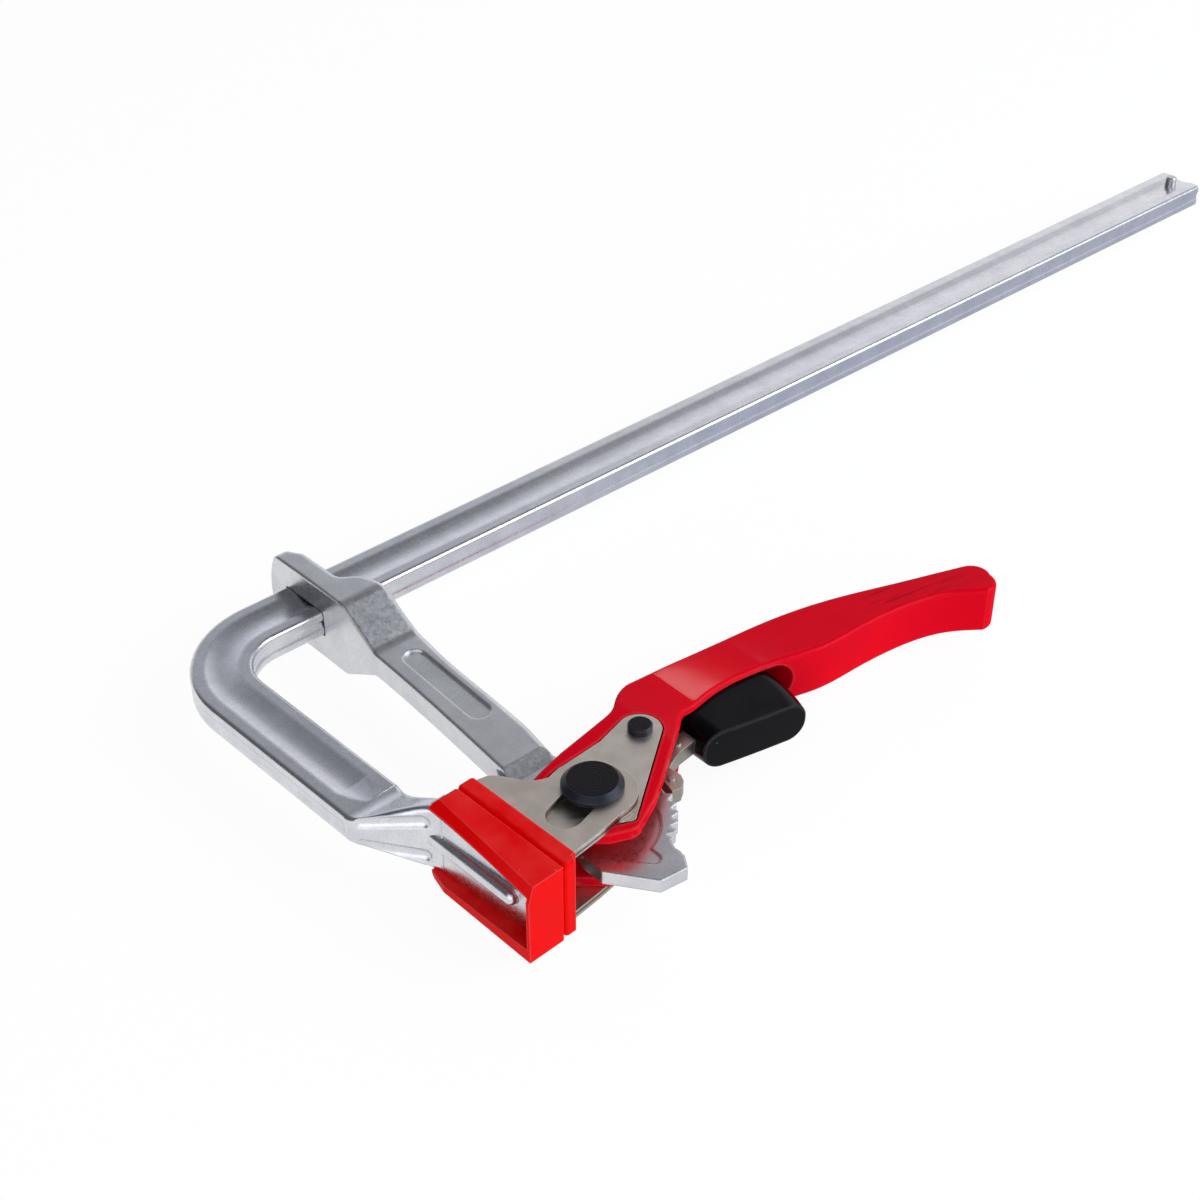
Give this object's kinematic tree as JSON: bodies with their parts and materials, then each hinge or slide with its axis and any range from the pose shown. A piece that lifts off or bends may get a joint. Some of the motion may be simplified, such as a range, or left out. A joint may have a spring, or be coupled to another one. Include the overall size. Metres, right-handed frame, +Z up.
{
  "type": "lever bar clamp",
  "caption": "Quick release bar clamp with a sliding arm, ratchet lever, trigger-released pawl and plastic jaw caps.",
  "frame": {"origin": "centre of the fixed jaw cap's clamping face, at mid height", "axes": "+X along the bar in the opening direction, +Y from the jaws to the bar, +Z up with the clamp lying flat"},
  "size_m": [0.5898, 0.2104, 0.0354],
  "materials": {
    "galvanised": "zinc plated, satin",
    "galvanised_arm": "zinc plated forging, fine mottled satin",
    "steel_pin": "turned",
    "cap_plastic": "moulded, semi-gloss",
    "cap_plastic_moving": "moulded, semi-gloss",
    "black_oxide": "black oxide, turned",
    "black_oxide_rivet": "black oxide, turned",
    "nickel": "nickel plated sheet",
    "nickel_plate": "nickel plated sheet",
    "red_enamel": "gloss enamel over cast metal",
    "spring_steel": "drawn wire",
    "pawl_steel": "nickel plated laminations",
    "trigger_plastic": "moulded, gloss"
  },
  "bodies": {
    "fixed_side": {"bar_and_fixed_arm": "galvanised", "fixed_jaw_cap": "cap_plastic", "bar_stop_pin": "steel_pin"},
    "sliding_side": {"sliding_arm": "galvanised_arm", "main_pin": "black_oxide", "main_pin_collar": "black_oxide"},
    "pressure_jaw": {"pressure_bracket": "nickel", "moving_jaw_cap": "cap_plastic_moving"},
    "lever_unit": {"lever": "red_enamel", "side_plate_upper": "nickel_plate", "side_plate_lower": "nickel_plate", "pawl_rivet": "black_oxide_rivet", "pawl_rivet_collar": "black_oxide_rivet", "pawl_spacers": "steel_pin", "trigger_spring": "spring_steel"},
    "pawl_unit": {"pawl_plate_1": "pawl_steel", "pawl_plate_2": "pawl_steel", "pawl_plate_3": "pawl_steel", "pawl_plate_4": "pawl_steel", "pawl_stack_rivets": "steel_pin", "trigger": "trigger_plastic", "trigger_pin": "steel_pin"}
  },
  "joints": [
    {"name": "arm_slide", "type": "slide", "parent": "fixed_side", "child": "sliding_side", "axis": [1, 0, 0], "range_m": [0, 0.5]},
    {"name": "lever_swing", "type": "hinge", "parent": "sliding_side", "child": "lever_unit", "pos_m": [0.0318, -0.0027, 0], "axis": [0, 0, 1], "range_deg": [-45, 0]},
    {"name": "jaw_press", "type": "slide", "parent": "sliding_side", "child": "pressure_jaw", "axis": [0.9627, 0.2706, 0], "range_m": [0, 0.006]},
    {"name": "trigger_press", "type": "hinge", "parent": "lever_unit", "child": "pawl_unit", "pos_m": [0.064, 0.0104, 0], "axis": [0, 0, 1], "range_deg": [0, 8], "stiffness_Nm_per_rad": 0.8, "springref_deg": -20.05, "deforming": ["trigger_spring"]}
  ],
  "couplings": [
    {"joint": "jaw_press", "follows": "lever_swing", "m_per_rad": -0.007193}
  ]
}
